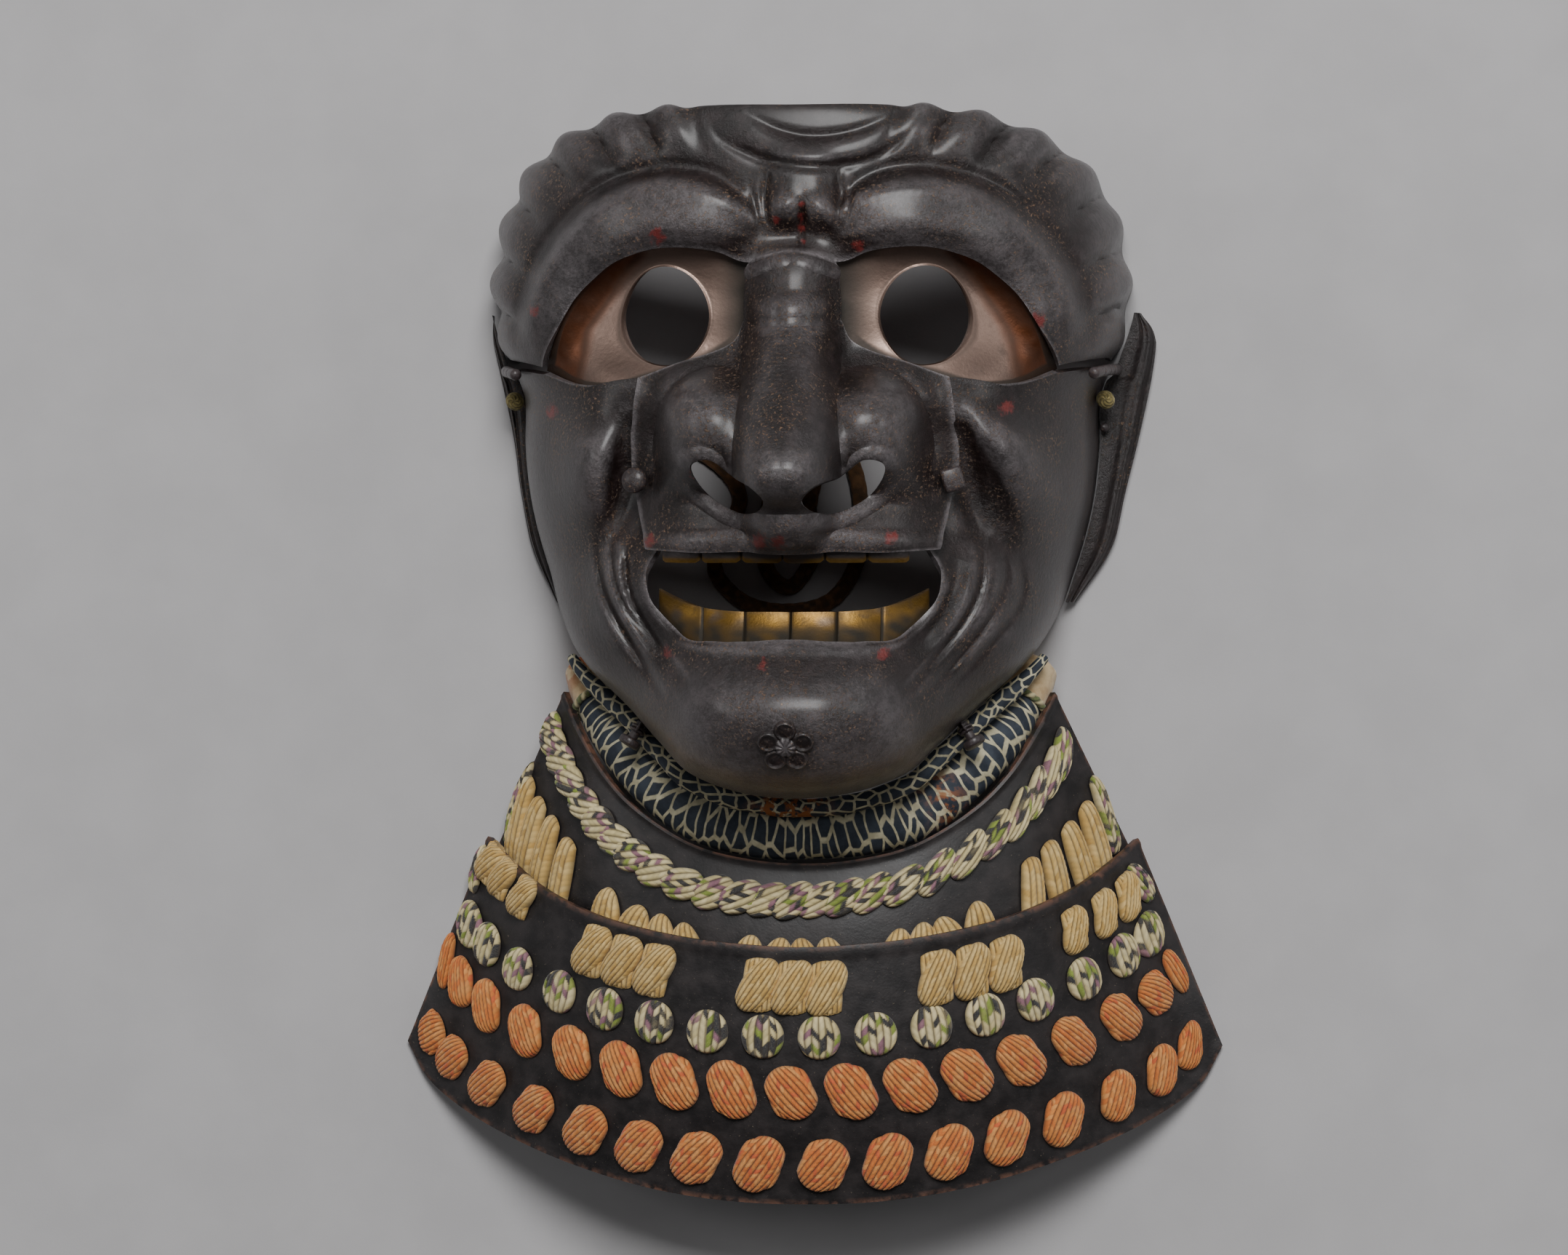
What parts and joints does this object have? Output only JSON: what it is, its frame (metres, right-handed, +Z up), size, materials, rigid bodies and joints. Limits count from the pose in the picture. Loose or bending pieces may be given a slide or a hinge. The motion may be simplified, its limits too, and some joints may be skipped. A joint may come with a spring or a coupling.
{
  "type": "samurai_face_guard",
  "caption": "Full iron face mask of a samurai armour, with round eye holes, detachable nose plate and a hanging throat guard of two laced lames",
  "frame": {"origin": "centre of the footprint, on the surface that the guard lies on", "axes": "X across the face, Y from the throat guard to the forehead, Z up and out of the face"},
  "size_m": [0.2216, 0.2884, 0.116],
  "materials": {
    "russet_iron": "russet lacquer on iron, rubbed and speckled with rust",
    "copper": "aged copper alloy sheet, polished at the centre",
    "gilt_teeth": "worn gilding with dark grime",
    "worn_iron": "dark iron, bare on its edges",
    "fibre_cord": "twisted plant fibre",
    "brown_cord": "flat ribbed braid",
    "stencilled_leather": "blue-black leather stencilled with a cream leaf pattern",
    "tan_suede": "napped tan leather",
    "black_lacquer": "black lacquer with worn reddish rims",
    "mixed_silk": "braid of cream, green, navy and mauve silk",
    "beige_silk": "beige silk braid"
  },
  "bodies": {
    "root": {"brow_plate": "russet_iron", "cheek_plate": "russet_iron", "nose_plate": "russet_iron", "eye_plate_right": "copper", "eye_plate_left": "copper", "upper_teeth": "gilt_teeth", "lower_teeth": "gilt_teeth", "nose_hook_right": "worn_iron", "nose_hook_left": "worn_iron", "chin_flower": "worn_iron", "temple_hinge_right": "worn_iron", "temple_hinge_left": "worn_iron", "cord_knot_right": "fibre_cord", "cord_knot_left": "fibre_cord", "chin_peg_right": "worn_iron", "chin_peg_left": "worn_iron", "ear_right": "russet_iron", "ear_left": "russet_iron", "tying_cord": "brown_cord", "collar_roll": "stencilled_leather", "collar_cap_right": "tan_suede", "collar_cap_left": "tan_suede", "collar_edge_roll": "stencilled_leather", "upper_lame": "black_lacquer", "lower_lame": "black_lacquer", "lacing_row_upper": "mixed_silk", "side_lacing_right": "beige_silk", "side_lacing_left": "beige_silk", "lace_knots_outer_right": "beige_silk", "lace_knots_outer_left": "beige_silk", "lace_knots_inner_right": "beige_silk", "lace_knots_inner_left": "beige_silk", "lace_knots_centre": "beige_silk"}
  },
  "joints": []
}
